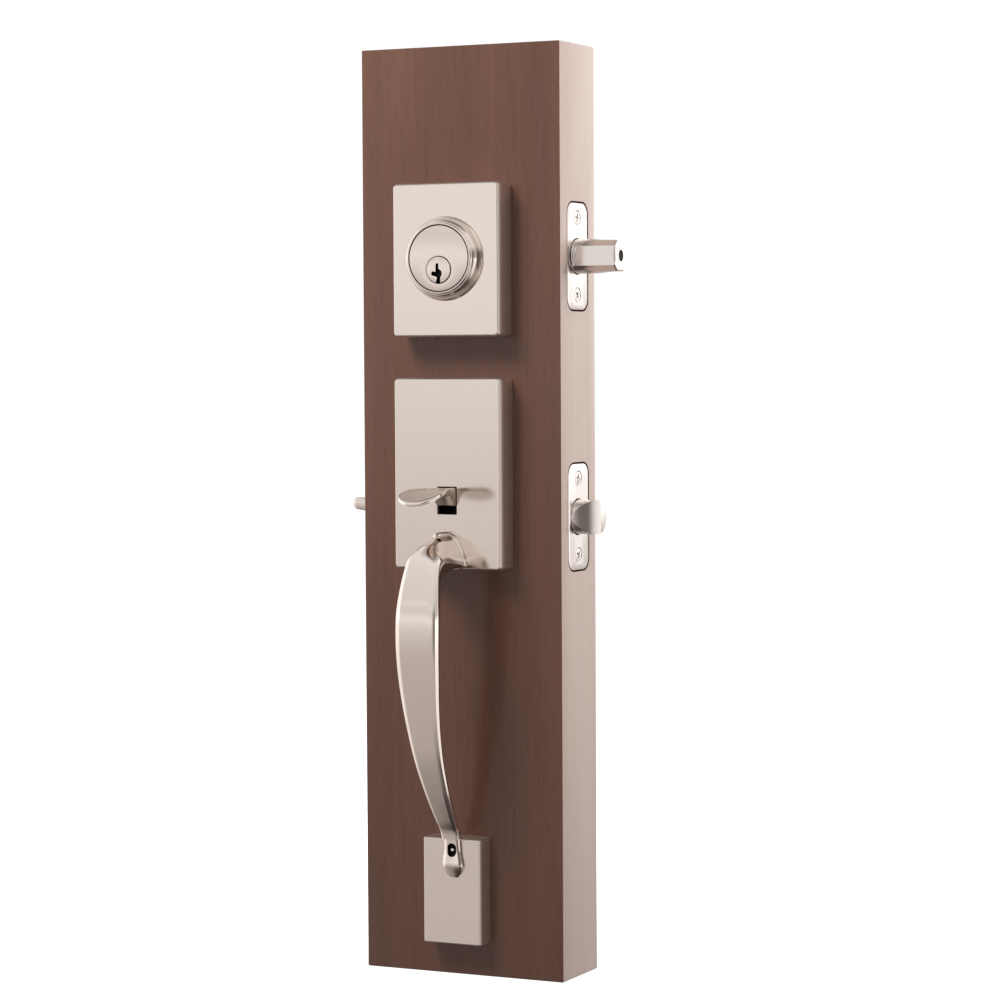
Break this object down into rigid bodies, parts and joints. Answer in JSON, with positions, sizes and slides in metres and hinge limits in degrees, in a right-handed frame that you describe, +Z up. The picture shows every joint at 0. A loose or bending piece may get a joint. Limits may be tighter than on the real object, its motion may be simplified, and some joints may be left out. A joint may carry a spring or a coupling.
{
  "type": "entry handleset with deadbolt",
  "caption": "Door entry set on a door section: keyed deadbolt with thumbturn above, thumb latch, pull handle, spring latch and inside lever below.",
  "frame": {"origin": "middle of the bottom cut of the door section, below the vertical centre line of the two cross bores", "axes": "+Z up along the door, +X to the door's lock edge where the bolts come out, -Y to the exterior side, +Y to the interior side"},
  "size_m": [0.1957, 0.1461, 0.502],
  "materials": {
    "lacquered_wood": "dark brown stained veneer under a satin lacquer, fine straight grain along the door",
    "satin_nickel": "warm satin nickel plate, very finely brushed, with soft reflections",
    "bright_steel": "bright satin plated steel",
    "zinc_plate": "dull zinc plated steel of the hidden working parts",
    "brass": "turned brass",
    "spring_steel": "dark spring steel",
    "hardened_steel": "black hardened steel"
  },
  "bodies": {
    "door": {"door_section": "lacquered_wood", "deadbolt_rose": "satin_nickel", "cylinder_collar": "satin_nickel", "cylinder_body": "satin_nickel", "driver_pin_1": "brass", "driver_pin_2": "brass", "driver_pin_3": "brass", "driver_pin_4": "brass", "driver_pin_5": "brass", "deadbolt_sleeve": "zinc_plate", "deadbolt_case": "zinc_plate", "deadbolt_faceplate": "bright_steel", "deadbolt_backplate": "zinc_plate", "deadbolt_faceplate_screw_top": "bright_steel", "deadbolt_faceplate_screw_bottom": "bright_steel", "deadbolt_mounting_plate": "zinc_plate", "deadbolt_through_screw_left": "bright_steel", "deadbolt_through_screw_right": "bright_steel", "deadbolt_inner_rose": "satin_nickel", "handle_plate": "satin_nickel", "thumb_pivot_pin": "bright_steel", "pull_handle": "satin_nickel", "handle_top_screw": "bright_steel", "foot_plate": "satin_nickel", "foot_screw": "bright_steel", "latch_spring": "spring_steel", "latch_sleeve": "zinc_plate", "latch_case": "zinc_plate", "latch_faceplate": "bright_steel", "latch_backplate": "zinc_plate", "latch_faceplate_screw_top": "bright_steel", "latch_faceplate_screw_bottom": "bright_steel", "lever_mounting_plate": "zinc_plate", "lever_through_screw_left": "bright_steel", "lever_through_screw_right": "bright_steel", "lever_rose": "satin_nickel", "lever_return_spring": "spring_steel"},
    "thumbturn": {"thumbturn": "satin_nickel", "thumbturn_clip": "spring_steel"},
    "plug": {"cylinder_plug": "satin_nickel", "plug_cap": "brass", "key_pin_1": "brass", "key_pin_2": "brass", "key_pin_3": "brass", "key_pin_4": "brass", "key_pin_5": "brass"},
    "tailpiece": {"tailpiece": "zinc_plate"},
    "deadbolt_crank": {"deadbolt_crank": "zinc_plate"},
    "deadbolt": {"deadbolt_bolt": "bright_steel", "bolt_anti_saw_pin": "hardened_steel"},
    "lever": {"interior_lever": "satin_nickel", "lever_clip": "spring_steel", "lever_spindle": "zinc_plate", "lever_set_screw": "bright_steel"},
    "thumb_cam": {"thumb_cam": "zinc_plate"},
    "latch_crank": {"latch_crank": "zinc_plate"},
    "latch": {"latch_bolt": "bright_steel"},
    "thumb_latch": {"thumb_latch": "satin_nickel"}
  },
  "joints": [
    {"name": "thumbturn_turn", "type": "hinge", "parent": "door", "child": "thumbturn", "pos_m": [0, 0, 0.3813], "axis": [0, -1, 0], "range_deg": [0, 90]},
    {"name": "plug_turn", "type": "hinge", "parent": "door", "child": "plug", "pos_m": [0, 0, 0.3813], "axis": [0, -1, 0], "range_deg": [0, 90]},
    {"name": "tailpiece_turn", "type": "hinge", "parent": "door", "child": "tailpiece", "pos_m": [0, 0, 0.3813], "axis": [0, -1, 0], "range_deg": [0, 90]},
    {"name": "deadbolt_crank_turn", "type": "hinge", "parent": "door", "child": "deadbolt_crank", "pos_m": [0, 0, 0.3813], "axis": [0, -1, 0], "range_deg": [0, 90]},
    {"name": "deadbolt_slide", "type": "slide", "parent": "door", "child": "deadbolt", "axis": [-1, 0, 0], "range_m": [0, 0.0254]},
    {"name": "lever_turn", "type": "hinge", "parent": "door", "child": "lever", "pos_m": [0, 0, 0.2488], "axis": [0, -1, 0], "range_deg": [0, 45], "stiffness_Nm_per_rad": 0.5, "springref_deg": -28.65, "deforming": ["lever_return_spring"]},
    {"name": "thumb_cam_turn", "type": "hinge", "parent": "door", "child": "thumb_cam", "pos_m": [0, 0, 0.2488], "axis": [0, -1, 0], "range_deg": [0, 45]},
    {"name": "latch_crank_turn", "type": "hinge", "parent": "door", "child": "latch_crank", "pos_m": [0, 0, 0.2488], "axis": [0, -1, 0], "range_deg": [0, 45]},
    {"name": "latch_slide", "type": "slide", "parent": "door", "child": "latch", "axis": [-1, 0, 0], "range_m": [0, 0.0127], "deforming": ["latch_spring"]},
    {"name": "thumb_latch_press", "type": "hinge", "parent": "door", "child": "thumb_latch", "pos_m": [0, -0.031, 0.26], "axis": [1, 0, 0], "range_deg": [0, 15]}
  ],
  "couplings": [
    {"joint": "plug_turn", "follows": "thumbturn_turn", "ratio": 1},
    {"joint": "tailpiece_turn", "follows": "thumbturn_turn", "ratio": 1},
    {"joint": "deadbolt_crank_turn", "follows": "thumbturn_turn", "ratio": 1},
    {"joint": "deadbolt_slide", "follows": "thumbturn_turn", "m_per_rad": 0.01617},
    {"joint": "thumb_cam_turn", "follows": "lever_turn", "ratio": 1},
    {"joint": "latch_crank_turn", "follows": "lever_turn", "ratio": 1},
    {"joint": "latch_slide", "follows": "lever_turn", "m_per_rad": 0.01617},
    {"joint": "thumb_latch_press", "follows": "lever_turn", "ratio": 0.33333}
  ]
}
